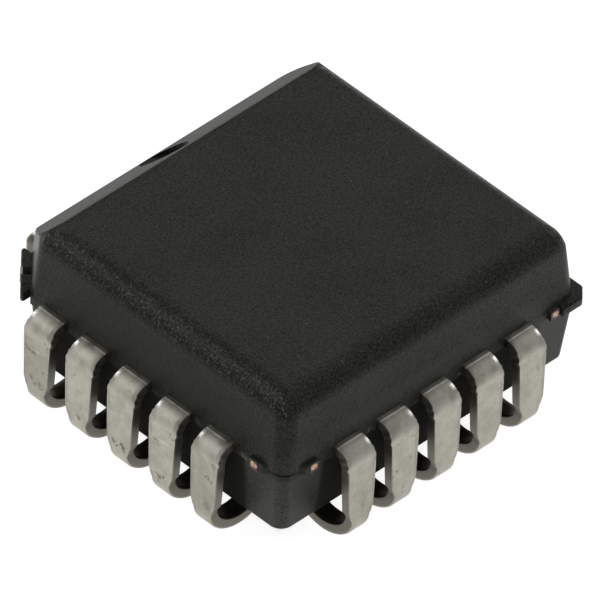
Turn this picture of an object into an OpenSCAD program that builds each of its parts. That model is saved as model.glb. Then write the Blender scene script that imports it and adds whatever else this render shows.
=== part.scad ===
// Plastic leaded chip carrier, square, twenty J-shaped leads, five to a side.
// The origin is on the board, under the middle of the part. Z is up.
// Y points to the side that carries lead 1, which is marked by the bevel and the round dimple.
// Leads count anticlockwise from above, starting in the middle of that side.

/* [Moulding] */
// How far the lower half's wall lies inside the upper half's, on each side
lower_inset = 0.02; // [0:0.005:0.04]
// How far the thin web of resin between the leads stands out of the wall
web_proud = 0.04; // [0.02:0.005:0.06]
// How far the thin flanges of resin at the corners stand out of the wall
flange_proud = 0.1; // [0.08:0.005:0.11]
// Height of the flat top above the board
top_z = 4.44; // [4.4:0.01:4.57]
// Height of the underside above the board
underside_z = 0.82; // [0.8:0.01:0.9]
// Draft of the upper half's walls, in degrees
upper_draft = 5.5; // [4:0.5:7]
// Draft of the lower half's walls, in degrees
lower_draft = 5; // [3:0.5:7]
// Radius along the top edges
top_edge_r = 0.58; // [0.4:0.01:0.62]
// Radius of the upright corners where the halves meet
corner_r = 0.43; // [0.36:0.01:0.5]
// How far the lead 1 corner is cut off along each side
key_corner_cut = 1.1; // [1.07:0.01:1.22]
// Radius of the upright edges at both ends of that cut
key_edge_r = 0.36; // [0.3:0.01:0.42]
// Cut of the flange across the lead 1 corner, along each side
key_flange_cut = 0.98; // [0.9:0.01:1.05]
// Cut of the flange across the corners on the positive X side, along each side
flange_cut = 0.27; // [0.2:0.01:0.3]
// Cut across the corner opposite them, where the flange is trimmed back under the wall
trimmed_cut = 0.66; // [0.6:0.01:0.7]
// Length of a corner flange along each side
flange_long = 1.07; // [1.04:0.01:1.12]

/* [Lead 1 marks] */
// How far the top of the bevel lies in from the foot of the wall
bevel_back = 1.28; // [1.2:0.01:1.36]
// Slope of the bevel below the horizontal, in degrees
bevel_slope = 45.5; // [43:0.5:47]
// Radius of the dimple in the bevel
dimple_r = 0.52; // [0.4:0.01:0.54]
// How far the centre of the dimple lies in from the foot of the wall
dimple_back = 0.59; // [0.55:0.01:0.64]
// Depth of the dimple's floor below the flat top
dimple_d = 1.23; // [1.14:0.01:1.24]

/* [Leads] */
// Spacing of the leads
pitch = 1.27; // [1.26:0.01:1.28]
// How far the leads stand out of the wall
lead_proud = 0.52; // [0.5:0.01:0.54]
// Thickness of the leadframe
lead_t = 0.24; // [0.22:0.01:0.25]
// Height of the leads' flat tops above the board
lead_top_z = 2.66; // [2.64:0.01:2.68]
// Width of a lead where it leaves the moulding
neck_w = 0.75; // [0.72:0.01:0.78]
// Width over the stubs left by the trimmed dam bar
stub_w = 0.83; // [0.8:0.01:0.86]
// Width of the upright part
upright_w = 0.74; // [0.66:0.01:0.81]
// Width of the foot
foot_w = 0.5; // [0.4:0.01:0.53]
// Outer radius of the shoulder bend
shoulder_r = 0.41; // [0.38:0.01:0.42]
// Outer radius of the foot bend
foot_r = 1; // [0.96:0.01:1.04]
// Gap that keeps the foot tips of neighbouring rows apart, which sets the width of the moulding
row_gap = 0.18; // [0.16:0.01:0.2]
// Gap between the foot's curled-up tip and the underside
tip_gap = 0.08; // [0.06:0.01:0.12]
// How far below the lead's flat top the stubs begin
stub_down = 0.2; // [0.18:0.01:0.22]
// Length of a stub
stub_long = 0.36; // [0.34:0.01:0.4]
// Length over which a stub runs out, above and below
stub_slope = 0.1; // [0.08:0.01:0.14]
// Height at which the foot has its own width
foot_z = 0.75; // [0.74:0.01:0.8]
// Length over which the upright narrows to the foot
narrow_long = 0.3; // [0.26:0.01:0.34]

/* [Inside] */
// Width of the plate that carries the die
paddle_w = 3.2; // [3:0.05:3.4]
// Width of the bars that tie the plate to the corners
tie_w = 0.24; // [0.22:0.01:0.26]
// Distance of the tie bars' cut ends from the corner of the flange
tie_back = 0.9; // [0.88:0.01:0.92]
// How far the cut ends stand out of the flange
tie_proud = 0.015; // [0.01:0.001:0.02]
// Gap between the plate and the leads' inner ends
finger_gap = 0.35; // [0.3:0.01:0.4]
// Spacing of the inner ends
finger_pitch = 0.6; // [0.58:0.01:0.62]
// Width of an inner end
finger_w = 0.32; // [0.28:0.01:0.34]
// How far in from the wall a lead runs straight before it leans
finger_bend_in = 0.64; // [0.6:0.01:0.7]
// Width of the die
die_w = 2.3; // [2.1:0.05:2.4]
// Thickness of the die
die_t = 0.38; // [0.3:0.01:0.42]
// How far the bed of adhesive shows round the die
adhesive_margin = 0.04; // [0.02:0.01:0.08]
// Thickness of that bed
adhesive_t = 0.03; // [0.025:0.005:0.04]
// Thickness of a bond wire
wire_t = 0.033; // [0.03:0.001:0.038]
// Height of a wire's loop above the die
loop_h = 0.24; // [0.2:0.01:0.3]
// Distance from the die's edge to its row of bond pads
pad_in = 0.12; // [0.1:0.01:0.16]
// Spacing of the bond pads
pad_pitch = 0.42; // [0.4:0.01:0.44]
// Distance from a lead's inner end to the wire that lands on it
landing_in = 0.2; // [0.15:0.01:0.25]

/* [Hidden] */
$fn = 64;

// Places of the leads along a side, in pitches from its middle
pitch_shares = [-2, -1, 0, 1, 2];
leads_a_side = len(pitch_shares);
quarter = 90;
eighth = 45;
three_eighths = 135;
diagonal = sqrt(2);

foot_curl = acos((foot_r - underside_z + tip_gap) / (foot_r - lead_t));
last_y = max(pitch_shares) * pitch;
lead_half = last_y + foot_w / 2 + row_gap + foot_r * (1 + sin(foot_curl));
lead_bottom_z = lead_top_z - lead_t;
upper_half = lead_half - lead_proud;
lower_half = upper_half - lower_inset;
web_half = upper_half + web_proud;
flange_half = upper_half + flange_proud;
flange_start = flange_half - flange_long;
bevel_y = upper_half - bevel_back;
dimple_y = upper_half - dimple_back;
dimple_z = top_z - dimple_d;
tie_y = flange_half - tie_back;
finger_bend_x = upper_half - finger_bend_in;
finger_x = paddle_w / 2 + finger_gap;
adhesive_w = die_w + 2 * adhesive_margin;
pad_x = die_w / 2 - pad_in;
landing_x = finger_x + landing_in;
upper_h = top_z - lead_top_z;
lower_h = lead_bottom_z - underside_z;

// Cuts run this far past the faces that they open
over = upper_half / 40;
reach = upper_half * 4;
wedge_share = 3;

// The centre line of the radius along a top edge
edge_z = top_z - top_edge_r;
edge_x = upper_half - (top_edge_r + (edge_z - lead_top_z) * sin(upper_draft)) / cos(upper_draft);
// The upper half's wall and upright corner radius at that height
wall_x = upper_half - (edge_z - lead_top_z) * tan(upper_draft);
wall_r = corner_r - (edge_z - lead_top_z) * tan(upper_draft);
ball_x = wall_x - wall_r - (top_edge_r - wall_r) / diagonal;

// The shoulder and foot bends, seen from the end of a row
shoulder_x = lead_half - shoulder_r;
shoulder_z = lead_top_z - shoulder_r;
foot_x = lead_half - foot_r;
stub_top_z = lead_top_z - stub_down;
stub_end_z = stub_top_z - stub_long;
narrow_z = foot_z + narrow_long;

paddle_top_z = lead_top_z;
die_z = paddle_top_z + adhesive_t;
die_top_z = die_z + die_t;
wire_high_z = die_top_z + loop_h;
knee_share = 0.24;

function two_digits(n) = n < 10 ? str("0", n) : str(n);
function lead_name(n) = str("lead_", two_digits(n));
function wire_name(n) = str("wire_", two_digits(n));

// Lead 1 is in the middle of its side, so the count is moved on by two places
function place(n) = (n + 1) % (leads_a_side * 4);
// Sides count anticlockwise from the Y side, as quarter turns from the X side
function side_of(n) = 1 + floor(place(n) / leads_a_side);
// Pitches from the middle of the side, counted from its right end as seen from outside
function step_of(n) = pitch_shares[place(n) % leads_a_side];

module on_side(s) {
  rotate([0, 0, quarter * s]) children();
}

// Everything outside a leaning wall that faces X
module outside_wall(x, z, lean) {
  translate([x, 0, z])
    rotate([0, -lean, 0])
      translate([0, -reach / 2, -reach / 2])
        cube([reach, reach, reach]);
}

// What a round upright edge takes off: a wedge between two walls, less a cone that touches both
module outside_edge(x, y, from_angle, to_angle, r, z, h, lean) {
  long = r * wedge_share;
  translate([x, y, z]) {
    difference() {
      translate([0, 0, -over])
        linear_extrude(h + 2 * over)
          polygon([[0, 0],
                   long * [cos(from_angle), sin(from_angle)],
                   long * [cos(to_angle), sin(to_angle)]]);
      translate([0, 0, -over])
        cylinder(h = h + 2 * over,
                 r1 = r + over * tan(lean),
                 r2 = r - (h + over) * tan(lean));
    }
  }
}

// A square block whose four walls lean inward from its foot
module leaning_block(half, z, h, lean) {
  difference() {
    translate([-half, -half, z])
      cube([2 * half, 2 * half, h]);
    for (s = [0 : 3])
      on_side(s)
        outside_wall(half, z, lean);
  }
}

// One moulded half: three round upright corners, and a cut across the lead 1 corner
module moulded_half(half, z, h, lean) {
  centre = half - corner_r;
  cut_far = (2 * half - key_corner_cut) / diagonal;
  key_a = half - key_edge_r;
  key_b = diagonal * (cut_far - key_edge_r) - key_a;
  difference() {
    difference() {
      leaning_block(half, z, h, lean);
      rotate([0, 0, three_eighths])
        outside_wall(cut_far, z, lean);
    }
    for (s = [2, 3, 4])
      on_side(s)
        outside_edge(centre, centre, 0, quarter, corner_r, z, h, lean);
    outside_edge(-key_a, key_b, three_eighths, 2 * quarter, key_edge_r, z, h, lean);
    outside_edge(-key_b, key_a, quarter, three_eighths, key_edge_r, z, h, lean);
  }
}

// The radius along the top edge that faces X
module outside_top_edge() {
  difference() {
    translate([edge_x, 0, edge_z])
      intersection() {
        translate([0, -reach / 2, -over])
          cube([reach, reach, reach]);
        rotate([0, -upper_draft, 0])
          translate([-over, -reach / 2, 0])
            cube([reach, reach, reach]);
      }
    translate([edge_x, 0, edge_z])
      rotate([quarter, 0, 0])
        cylinder(h = reach + 2 * over, r = top_edge_r, center = true);
  }
}

// Softens the corner where two top edges meet
module outside_top_corner() {
  translate([ball_x, ball_x, edge_z])
    difference() {
      cube([reach, reach, reach]);
      sphere(r = top_edge_r);
    }
}

module upper_moulding() {
  difference() {
    difference() {
      moulded_half(upper_half, lead_top_z, upper_h, upper_draft);
      for (s = [0, 2, 3])
        on_side(s)
          outside_top_edge();
    }
    for (s = [2, 3])
      on_side(s)
        outside_top_corner();
    // The bevel along the lead 1 side
    translate([0, bevel_y, top_z])
      rotate([-bevel_slope, 0, 0])
        translate([-reach / 2, -over, 0])
          cube([reach, reach, reach]);
    translate([0, dimple_y, dimple_z])
      cylinder(h = upper_h, r = dimple_r);
  }
}

module lower_moulding() {
  mirror([0, 0, 1])
    translate([0, 0, -lead_bottom_z])
      moulded_half(lower_half, 0, lower_h, lower_draft);
}

// A square with its lead 1 corner cut off
module keyed_square(half, cut) {
  polygon([[-half, -half], [half, -half], [half, half], [cut - half, half], [-half, half - cut]]);
}

// The positive quarter of a square with its corner cut off
module cut_square(half, cut) {
  polygon([[0, 0], [half, 0], [half, half - cut], [half - cut, half], [0, half]]);
}

// The thin level of resin between the halves, with a flange round each corner
module parting_web() {
  translate([0, 0, lead_bottom_z])
    linear_extrude(lead_t) {
      intersection() {
        keyed_square(web_half, key_corner_cut);
        for (s = [0 : 3])
          on_side(s)
            cut_square(web_half, s == 2 ? trimmed_cut : corner_r);
      }
      intersection() {
        keyed_square(flange_half, key_flange_cut);
        union() {
          for (s = [0 : 3])
            on_side(s)
              translate([flange_start, flange_start])
                square(flange_half);
        }
        union() {
          for (s = [3, 4])
            on_side(s)
              cut_square(flange_half, flange_cut);
          on_side(2)
            cut_square(flange_half, trimmed_cut);
          on_side(1)
            square(flange_half);
        }
      }
    }
}

// Plan of the leadframe's finger for step k of the side that faces X
module finger_plan(k) {
  outer = k * pitch;
  inner = k * finger_pitch;
  polygon([[shoulder_x, outer - neck_w / 2],
           [shoulder_x, outer + neck_w / 2],
           [finger_bend_x, outer + neck_w / 2],
           [finger_x, inner + finger_w / 2],
           [finger_x, inner - finger_w / 2],
           [finger_bend_x, outer - neck_w / 2]]);
}

module finger(n) {
  on_side(side_of(n))
    translate([0, 0, lead_bottom_z])
      linear_extrude(lead_t)
        finger_plan(step_of(n));
}

// Profile of the bent part of a lead, seen from the end of its row
module bent_profile() {
  // The flat that runs into the shoulder
  translate([upper_half, lead_bottom_z])
    square([shoulder_x - upper_half, lead_t]);
  intersection() {
    translate([shoulder_x, shoulder_z])
      difference() {
        circle(r = shoulder_r);
        circle(r = shoulder_r - lead_t);
      }
    translate([shoulder_x, shoulder_z])
      square(shoulder_r + over);
  }
  translate([lead_half - lead_t, foot_r])
    square([lead_t, shoulder_z - foot_r]);
  intersection() {
    translate([foot_x, foot_r])
      difference() {
        circle(r = foot_r);
        circle(r = foot_r - lead_t);
      }
    translate([foot_x, foot_r])
      polygon([[0, 0],
               [foot_r + over, 0],
               [foot_r + over, -foot_r - over],
               [-foot_r * tan(foot_curl) - over, -foot_r - over]]);
  }
}

// Outline of a lead seen from outside: neck, dam-bar stubs, upright and foot
module front_outline() {
  right = [[neck_w / 2, lead_top_z + over],
           [neck_w / 2, stub_top_z],
           [stub_w / 2, stub_top_z - stub_slope],
           [stub_w / 2, stub_end_z + stub_slope],
           [upright_w / 2, stub_end_z],
           [upright_w / 2, narrow_z],
           [foot_w / 2, foot_z],
           [foot_w / 2, -over]];
  left = [for (i = [len(right) - 1 : -1 : 0]) [-right[i][0], right[i][1]]];
  polygon(concat(right, left));
}

module lead(n) {
  color("silver") {
    finger(n);
    on_side(side_of(n))
      translate([0, step_of(n) * pitch, 0])
        intersection() {
          translate([0, stub_w, 0])
            rotate([quarter, 0, 0])
              linear_extrude(stub_w * 2)
                bent_profile();
          rotate([quarter, 0, quarter])
            linear_extrude(lead_half + over)
              front_outline();
        }
  }
}

module die_paddle() {
  arm = flange_half + tie_proud;
  key_far = (2 * flange_half - key_flange_cut) / diagonal + tie_proud;
  color("peru")
    translate([0, 0, lead_bottom_z])
      linear_extrude(lead_t) {
        square(paddle_w, center = true);
        for (s = [2, 3, 4]) {
          on_side(s) {
            rotate(eighth)
              translate([0, -tie_w / 2])
                square([tie_y * diagonal, tie_w]);
            translate([tie_y - tie_w / 2, tie_y - tie_w / 2])
              square([arm - tie_y + tie_w / 2, tie_w]);
            translate([tie_y - tie_w / 2, tie_y - tie_w / 2])
              square([tie_w, arm - tie_y + tie_w / 2]);
          }
        }
        rotate(three_eighths)
          translate([0, -tie_w / 2])
            square([key_far, tie_w]);
      }
}

module die_adhesive() {
  color("gainsboro")
    translate([-adhesive_w / 2, -adhesive_w / 2, paddle_top_z])
      cube([adhesive_w, adhesive_w, adhesive_t]);
}

module die() {
  color("slategray")
    translate([-die_w / 2, -die_w / 2, die_z])
      cube([die_w, die_w, die_t]);
}

// A bond wire from a pad on the die, up over the loop and down to its finger
module wire(n) {
  k = step_of(n);
  lean = (finger_bend_x - landing_x) / (finger_bend_x - finger_x);
  landing_y = k * (pitch + (finger_pitch - pitch) * lean);
  pad_y = k * pad_pitch;
  run = norm([landing_x - pad_x, landing_y - pad_y]);
  turn = atan2(landing_y - pad_y, landing_x - pad_x);
  knee = run * knee_share;
  color("gold")
    on_side(side_of(n))
      translate([pad_x, pad_y, 0])
        rotate([quarter, 0, turn])
          linear_extrude(wire_t, center = true)
            polygon([[0, die_top_z],
                     [wire_t, die_top_z],
                     [wire_t, wire_high_z - wire_t],
                     [knee, wire_high_z - wire_t],
                     [run - wire_t, lead_top_z + wire_t / 2],
                     [run - wire_t, lead_top_z],
                     [run + wire_t, lead_top_z],
                     [run + wire_t, lead_top_z + wire_t],
                     [run, lead_top_z + wire_t],
                     [knee + wire_t / 2, wire_high_z],
                     [0, wire_high_z]]);
}

// The moulding closes round everything that the leadframe carries
module body() {
  color([0.2, 0.19, 0.18])
    difference() {
      union() {
        upper_moulding();
        parting_web();
        lower_moulding();
      }
      die_paddle();
      die_adhesive();
      die();
      for (n = [1 : 20]) {
        finger(n);
        wire(n);
      }
    }
}

body();
die_paddle();
die_adhesive();
die();
for (n = [1 : 20]) lead(n);
for (n = [1 : 20]) wire(n);
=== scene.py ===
"""Dresses a square plastic chip carrier that stands on its J-shaped leads.

The moulding and the formed leads are modelled again with soft and worn edges, and every surface gets the
finish of the real material: grained resin, satin tin plate, bare copper, silicon, silver paste and gold wire.
Some shade, highlights, glints and sheen are painted into the resin and tin colours, and a shadow into the table's
glow.
Sizes are in millimetres until a piece is finished, which puts it into metres.
"""

import logging
import math
from dataclasses import dataclass, field
from enum import Enum

import bmesh
import bpy
from mathutils import Matrix, Vector

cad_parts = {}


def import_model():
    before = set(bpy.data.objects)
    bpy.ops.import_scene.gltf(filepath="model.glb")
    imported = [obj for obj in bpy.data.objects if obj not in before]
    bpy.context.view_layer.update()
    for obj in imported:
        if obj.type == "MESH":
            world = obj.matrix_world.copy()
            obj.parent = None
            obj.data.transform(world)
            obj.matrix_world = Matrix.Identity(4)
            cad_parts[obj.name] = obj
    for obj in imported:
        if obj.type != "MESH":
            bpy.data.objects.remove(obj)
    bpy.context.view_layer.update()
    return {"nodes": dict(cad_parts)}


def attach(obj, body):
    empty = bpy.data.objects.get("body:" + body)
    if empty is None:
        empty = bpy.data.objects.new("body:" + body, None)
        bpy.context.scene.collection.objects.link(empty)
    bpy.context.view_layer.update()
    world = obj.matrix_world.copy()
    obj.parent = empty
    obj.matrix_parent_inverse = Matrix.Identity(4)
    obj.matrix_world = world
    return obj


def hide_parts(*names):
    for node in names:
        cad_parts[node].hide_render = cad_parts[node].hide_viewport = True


log = logging.getLogger("chip_carrier")

MM = 0.001
ROOT = "root"


class Side(Enum):
    """The side of the moulding that a row of leads leaves, in quarter turns from the positive X side."""

    EAST = 0
    NORTH = 1
    WEST = 2
    SOUTH = 3

    @property
    def turn(self) -> Matrix:
        """The turn that brings the positive X side here."""
        return Matrix.Rotation(self.value * math.pi / 2, 4, "Z")


class Socket:
    """A shader socket that can be used in sums, as in 1 - mask * 0.5."""

    def __init__(self, graph: "Graph", socket: bpy.types.NodeSocket) -> None:
        """Wraps a socket.

        Args:
            graph: The graph that the socket belongs to.
            socket: The output to wrap.
        """
        self.graph = graph
        self.socket = socket

    def _sum(self, operation: str, *values: "Socket | float") -> "Socket":
        """One Math node on these values."""
        return self.graph.node("ShaderNodeMath", {"operation": operation}, dict(enumerate(values)))

    def __add__(self, other: "Socket | float") -> "Socket":
        """self + other."""
        return self._sum("ADD", self, other)

    def __radd__(self, other: float) -> "Socket":
        """other + self."""
        return self._sum("ADD", other, self)

    def __sub__(self, other: "Socket | float") -> "Socket":
        """self - other."""
        return self._sum("SUBTRACT", self, other)

    def __rsub__(self, other: float) -> "Socket":
        """other - self."""
        return self._sum("SUBTRACT", other, self)

    def __mul__(self, other: "Socket | float") -> "Socket":
        """self * other."""
        return self._sum("MULTIPLY", self, other)

    def __rmul__(self, other: float) -> "Socket":
        """other * self."""
        return self._sum("MULTIPLY", other, self)

    def __truediv__(self, other: "Socket | float") -> "Socket":
        """self / other."""
        return self._sum("DIVIDE", self, other)

    def __pow__(self, other: "Socket | float") -> "Socket":
        """self to the power of other."""
        return self._sum("POWER", self, other)

    def above(self, low: float, high: float) -> "Socket":
        """A soft step.

        Args:
            low: The value that gives 0.
            high: The value that gives 1.

        Returns:
            0 to 1, held at both ends. A high end under the low one turns the step round.
        """
        return self.graph.node(
            "ShaderNodeMapRange",
            {"interpolation_type": "SMOOTHSTEP"},
            {"Value": self, "From Min": low, "From Max": high},
        )


class Graph:
    """The node tree of one material."""

    def __init__(self, tree: bpy.types.NodeTree) -> None:
        """Empties a node tree.

        Args:
            tree: The tree to fill.
        """
        self.tree = tree
        tree.nodes.clear()

    def node(
        self,
        kind: str,
        settings: dict[str, object] | None = None,
        inputs: dict[str | int, object] | None = None,
        output: int | str = 0,
    ) -> Socket:
        """Adds a node.

        Args:
            kind: The node's type.
            settings: What is set on the node before its inputs. "stops" fills a ramp.
            inputs: A value or a Socket for each input, by name or number.
            output: The output to hand back.

        Returns:
            That output.
        """
        made = self.tree.nodes.new(kind)
        for name, value in (settings or {}).items():
            if name == "stops":
                self._fill_ramp(made.color_ramp, value)
            else:
                setattr(made, name, value)
        for name, value in (inputs or {}).items():
            if isinstance(value, Socket):
                self.tree.links.new(value.socket, made.inputs[name])
            else:
                made.inputs[name].default_value = value
        return Socket(self, made.outputs[output]) if made.outputs else Socket(self, None)

    @staticmethod
    def _fill_ramp(ramp: bpy.types.ColorRamp, stops: list[tuple[float, float]]) -> None:
        """Sets a ramp of greys from (place, brightness) pairs."""
        while len(ramp.elements) < len(stops):
            ramp.elements.new(1.0)
        for element, (place, grey) in zip(ramp.elements, stops):
            element.position = place
            element.color = (grey, grey, grey, 1.0)

    def millimetres(self, stretch: tuple[float, float, float] = (1.0, 1.0, 1.0)) -> Socket:
        """Object coordinates in millimetres, each axis then multiplied by its stretch."""
        place = self.node("ShaderNodeTexCoord", output="Object")
        scale = tuple(s / MM for s in stretch)
        return self.node("ShaderNodeVectorMath", {"operation": "MULTIPLY"}, {0: place, 1: scale})

    def noise(self, at: Socket, size: float, detail: float = 2.0, rough: float = 0.5) -> Socket:
        """Noise.

        Args:
            at: Coordinates in millimetres.
            size: Width of one patch, in millimetres.
            detail: Octaves.
            rough: How strongly the finer octaves show.

        Returns:
            0 to 1, mostly near the middle.
        """
        inputs = {"Vector": at, "Scale": 1.0 / size, "Detail": detail, "Roughness": rough}
        return self.node("ShaderNodeTexNoise", {"noise_dimensions": "3D"}, inputs)

    def specks(self, at: Socket, size: float, share: float) -> Socket:
        """Small round specks.

        Args:
            at: Coordinates in millimetres.
            size: Spacing of the cells that can hold a speck, in millimetres.
            share: Radius of a speck as a share of that spacing.

        Returns:
            1 in a speck and 0 outside.
        """
        near = self.node("ShaderNodeTexVoronoi", {"feature": "F1"}, {"Vector": at, "Scale": 1.0 / size})
        return near.above(share, share * 0.4)

    def smudges(self, at: Socket, marks: tuple["Smudge", ...]) -> Socket:
        """Soft oval marks at chosen places.

        Args:
            at: Coordinates in millimetres.
            marks: The marks.

        Returns:
            0 outside every mark, up to a mark's own strength in its middle.
        """
        total: Socket | float = 0.0
        for mark in marks:
            scale = tuple(1.0 / r for r in mark.radii)
            shift = tuple(-c / r for c, r in zip(mark.centre, mark.radii))
            local = self.node("ShaderNodeVectorMath", {"operation": "MULTIPLY_ADD"}, {0: at, 1: scale, 2: shift})
            away = self.node("ShaderNodeVectorMath", {"operation": "LENGTH"}, {0: local}, output="Value")
            spot = away.above(1.15, 0.4) * mark.strength
            total = self.node("ShaderNodeMath", {"operation": "MAXIMUM"}, {0: spot, 1: total})
        return total

    def mix(self, factor: Socket | float, low: object, high: object) -> Socket:
        """A colour between two colours."""
        inputs = {0: factor, 6: self._colour(low), 7: self._colour(high)}
        return self.node("ShaderNodeMix", {"data_type": "RGBA"}, inputs, output=2)

    @staticmethod
    def _colour(value: object) -> object:
        """A colour with its fourth part."""
        return value if isinstance(value, Socket) else (*value, 1.0)

    def bump(self, height: Socket, depth: float, strength: float = 1.0, under: Socket | None = None) -> Socket:
        """Relief.

        Args:
            height: 0 to 1.
            depth: Depth of the relief in millimetres.
            strength: How much of it shows.
            under: The normal that it is laid over.

        Returns:
            The normal.
        """
        inputs = {"Height": height, "Distance": depth * MM, "Strength": strength}
        if under is not None:
            inputs["Normal"] = under
        return self.node("ShaderNodeBump", {}, inputs)

    def surface(self, **inputs: object) -> None:
        """Ends the tree in a Principled shader with these inputs, their names written with underscores."""
        named = {name.replace("_", " "): value for name, value in inputs.items()}
        shader = self.node("ShaderNodeBsdfPrincipled", {}, named)
        self.node("ShaderNodeOutputMaterial", {}, {"Surface": shader})


def new_material(name: str) -> tuple[bpy.types.Material, Graph]:
    """An empty node material and its graph."""
    material = bpy.data.materials.new(name)
    material.use_nodes = True
    return material, Graph(material.node_tree)


@dataclass(frozen=True)
class Smudge:
    """An oval mark: its middle and its reach along each axis, in millimetres."""

    centre: tuple[float, float, float]
    radii: tuple[float, float, float]
    strength: float


@dataclass(frozen=True)
class GrainedResin:
    """Dark moulding compound with the fine matte grain of a spark-eroded mould."""

    name: str = "grained_resin"
    dark: tuple[float, float, float] = (0.005, 0.005, 0.004)
    light: tuple[float, float, float] = (0.041, 0.0405, 0.0345)
    # colour of the dust specks and of the painted light on the south wall
    dust_and_painted_light: tuple[float, float, float] = (0.16, 0.16, 0.15)
    chipped: tuple[float, float, float] = (0.14, 0.14, 0.15)
    painted_ridge_sparkle: tuple[float, float, float] = (0.12, 0.12, 0.13)
    # colour of the painted shade in the recesses and of the shadowed marks
    painted_shade: tuple[float, float, float] = (0.006, 0.0055, 0.004)
    shadowed: tuple[Smudge, ...] = (
        Smudge((-4.2, -4.2, 2.48), (0.8, 0.8, 0.15), 0.95),
        Smudge((-4.35, 0.0, 3.3), (0.4, 5.5, 1.1), 0.5),
    )
    painted_light_marks: tuple[Smudge, ...] = (Smudge((0.0, -4.36, 2.86), (5.5, 0.3, 0.42), 0.1),)
    ridge: tuple[float, float, float, float] = (3.85, 4.02, 3.98, 4.14)
    painted_recess_shade: tuple[float, float, float, float] = (2.42, 2.3, 3.3, 3.1)
    bevel_starts: tuple[float, float] = (3.11, 4.44)
    bevel_soft: float = 0.16
    bevel_depth: float = 0.035
    roughness: float = 0.34
    specular: float = 0.11
    tint: tuple[float, float, float] = (1.0, 0.99, 0.88)
    grain_size: float = 0.05
    grain_depth: float = 0.014
    pit_size: float = 0.11
    pit_depth: float = 0.002
    chips: tuple[Smudge, ...] = (
        Smudge((-4.42, -3.2, 2.42), (0.16, 0.13, 0.14), 0.9),
        Smudge((-4.42, -1.8, 2.5), (0.14, 0.12, 0.1), 0.5),
        Smudge((-4.42, -0.5, 2.45), (0.14, 0.1, 0.08), 0.3),
        Smudge((-2.9, -4.42, 2.36), (0.16, 0.14, 0.12), 0.5),
        Smudge((-1.84, -4.42, 2.48), (0.1, 0.14, 0.12), 0.7),
        Smudge((-0.44, -4.42, 2.42), (0.08, 0.14, 0.08), 0.8),
        Smudge((0.83, -4.42, 2.42), (0.08, 0.14, 0.08), 0.7),
    )

    def build(self) -> bpy.types.Material:
        """Makes the material."""
        material, graph = new_material(self.name)
        at = graph.millimetres()
        grain = graph.noise(at, self.grain_size, 3.0, 0.6)
        pits = graph.noise(at, self.pit_size, 2.0)
        clouds = graph.noise(at, 1.6, 2.0)
        tone = grain.above(0.32, 0.68) * 0.85 + clouds.above(0.3, 0.7) * 0.15
        colour = graph.mix(tone, self.dark, self.light)
        colour = graph.mix(graph.specks(at, 0.55, 0.045) * 0.7, colour, self.dust_and_painted_light)
        ragged = graph.noise(at, 0.08, 3.0, 0.6).above(0.42, 0.6)
        colour = graph.mix(graph.smudges(at, self.chips) * ragged, colour, self.chipped)
        ridge, painted_recess_shade, bevel, edge = self._places(graph, at)
        # painted highlight: lighter flakes on the top ridges only, standing for the sparkle where the rounded edges
        # catch the light
        painted_sparkle_flakes = graph.noise(at, 0.05, 2.0).above(0.56, 0.72)
        colour = graph.mix(painted_sparkle_flakes * ridge * 0.6, colour, self.painted_ridge_sparkle)
        # painted shade: darkens the lower wall in the recesses between the leads; the shadowed marks below paint a
        # shadow under the near corner and darken the west wall
        colour = graph.mix(painted_recess_shade * 0.8, colour, self.painted_shade)
        colour = graph.mix(graph.smudges(at, self.shadowed), colour, self.painted_shade)
        # painted light: a lighter band along the lower south wall, in the dust colour
        colour = graph.mix(graph.smudges(at, self.painted_light_marks), colour, self.dust_and_painted_light)
        normal = graph.bump(edge, self.bevel_depth)
        normal = graph.bump(pits, self.pit_depth, under=normal)
        normal = graph.bump(grain, self.grain_depth, under=normal)
        graph.surface(
            Base_Color=colour,
            Roughness=self.roughness + (grain - 0.5) * 0.35 + painted_recess_shade * 0.4 + bevel * 0.17,
            Specular_IOR_Level=self.specular,
            Specular_Tint=(*self.tint, 1.0),
            Normal=normal,
        )
        return material

    def _places(self, graph: Graph, at: Socket) -> tuple[Socket, Socket, Socket, Socket]:
        """Where the ridges with the painted sparkle, the lower wall with the painted recess shade and the bevel are,
        and the relief of the bevel's edge.
        """
        x, y, z = (graph.node("ShaderNodeSeparateXYZ", {}, {0: at}, output=name) for name in "XYZ")
        wide, deep = (graph.node("ShaderNodeMath", {"operation": "ABSOLUTE"}, {0: part}) for part in (x, y))
        inner = graph.node("ShaderNodeMath", {"operation": "MINIMUM"}, {0: wide, 1: deep})
        ridge = wide.above(*self.ridge[:2]) * z.above(*self.ridge[2:])
        painted_recess_shade = z.above(*self.painted_recess_shade[:2]) * inner.above(*self.painted_recess_shade[2:])
        start_y, start_z = self.bevel_starts
        off = graph.node("ShaderNodeMath", {"operation": "ABSOLUTE"}, {0: y + z - (start_y + start_z)})
        bevel = off.above(0.1, 0.05) * y.above(start_y, start_y + 0.1)
        away = graph.node("ShaderNodeMath", {"operation": "ABSOLUTE"}, {0: y - start_y})
        beside = z.above(start_z - 0.04, start_z - self.bevel_soft - 0.03)
        edge = graph.node("ShaderNodeMath", {"operation": "MAXIMUM"}, {0: away.above(0.0, self.bevel_soft), 1: beside})
        return ridge, painted_recess_shade, bevel, edge


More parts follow.
